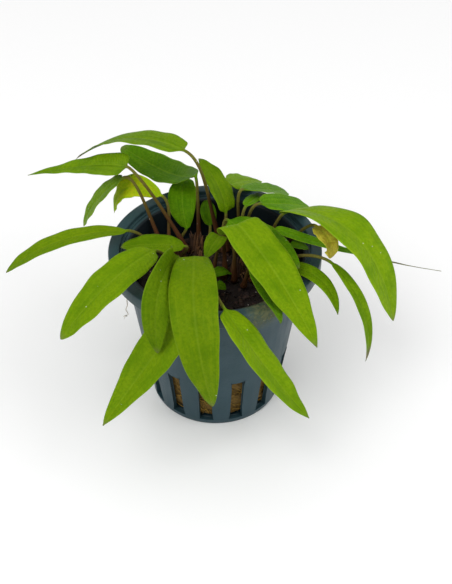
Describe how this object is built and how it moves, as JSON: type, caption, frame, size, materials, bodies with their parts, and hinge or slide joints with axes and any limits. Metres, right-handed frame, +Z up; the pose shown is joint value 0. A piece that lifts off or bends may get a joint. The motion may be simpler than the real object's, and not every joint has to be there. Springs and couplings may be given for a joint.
{
  "type": "potted aquarium plant",
  "caption": "Low rosette of stalked lance-shaped green leaves arching out of a slotted blue-grey net pot filled with rockwool and dark growing medium.",
  "frame": {"origin": "centre of the flat underside of the pot, on the surface it stands on", "axes": "+Z up; -Y towards the viewer of the picture; +X to the viewer's right"},
  "size_m": [0.1148, 0.0894, 0.0704],
  "materials": {
    "pot": "moulded blue-grey plastic, satin, greener and darker at the rim",
    "rockwool": "yellow-brown mineral fibre, rough and matt",
    "soil": "dark damp growing medium with fine pale specks",
    "crown": "short brown rootstock, matt",
    "leaf_bright": "yellow-green leaf, soft sheen, pale midrib, reddish-brown stalk",
    "leaf_green": "mid-green leaf, soft sheen",
    "leaf_shaded": "darker green inner leaf, soft sheen",
    "leaf_yellow": "yellowing leaf with an orange tint, soft sheen",
    "leaf_withered": "dry brown leaf, matt",
    "root": "pale hair-thin root"
  },
  "bodies": {
    "root": {"pot": "pot", "rockwool_plug": "rockwool", "soil_layer": "soil", "crown_left": "crown", "crown_rear_left": "crown", "crown_front_left": "crown", "crown_rear": "crown", "crown_right": "crown", "crown_front_right": "crown", "leaf_right_large": "leaf_bright", "leaf_front_right_large": "leaf_bright", "leaf_front_right_low": "leaf_bright", "leaf_front_centre": "leaf_bright", "leaf_front_left_low": "leaf_bright", "leaf_left_large": "leaf_bright", "leaf_left_long": "leaf_bright", "leaf_top_arch": "leaf_green", "leaf_upper_left": "leaf_green", "leaf_left_hanging": "leaf_green", "leaf_rear_rising": "leaf_green", "leaf_rear_right_a": "leaf_green", "leaf_right_low": "leaf_green", "leaf_right_long": "leaf_green", "leaf_front_left_shaded": "leaf_green", "leaf_left_inner": "leaf_green", "leaf_small_oval": "leaf_green", "leaf_top_broad": "leaf_shaded", "leaf_rising_oval": "leaf_shaded", "leaf_rear_right_b": "leaf_shaded", "leaf_right_short": "leaf_shaded", "leaf_right_upper": "leaf_shaded", "leaf_right_narrow": "leaf_shaded", "leaf_under_front_right": "leaf_shaded", "leaf_drooping_dark": "leaf_shaded", "leaf_sprout_a": "leaf_shaded", "leaf_sprout_b": "leaf_shaded", "leaf_rear_small": "leaf_shaded", "leaf_right_inner": "leaf_shaded", "leaf_yellowing": "leaf_yellow", "leaf_withered": "leaf_withered", "stray_root": "root"}
  },
  "joints": []
}
